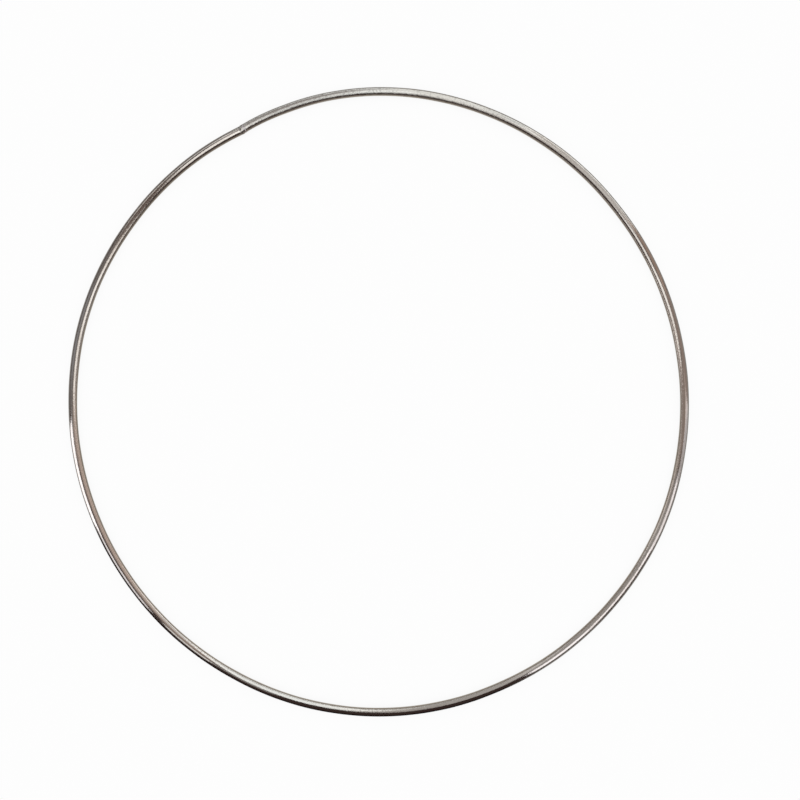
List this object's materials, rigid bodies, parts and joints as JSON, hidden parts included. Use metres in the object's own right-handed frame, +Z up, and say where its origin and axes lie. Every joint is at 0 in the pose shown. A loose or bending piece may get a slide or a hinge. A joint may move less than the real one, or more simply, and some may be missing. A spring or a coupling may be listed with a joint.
{
  "type": "wreath frame",
  "caption": "Flat round hoop of plain plated steel wire, its ends butt welded, as the base that a floral wreath is wound or tied onto.",
  "frame": {"origin": "the centre of the hoop's outline, on the surface that the hoop lies on", "axes": "+Z up, square to the plane of the hoop; +Y along the hoop's longer diameter, with the weld at about 116.5 degrees anticlockwise from +X"},
  "size_m": [0.1998, 0.2026, 0.003],
  "materials": {
    "plated_wire": "bright nickel plating with fine drawn streaks and a pitted grain",
    "fused_metal": "plated weld bead, lightly dressed"
  },
  "bodies": {
    "root": {"ring_wire": "plated_wire", "butt_weld": "fused_metal"}
  },
  "joints": []
}
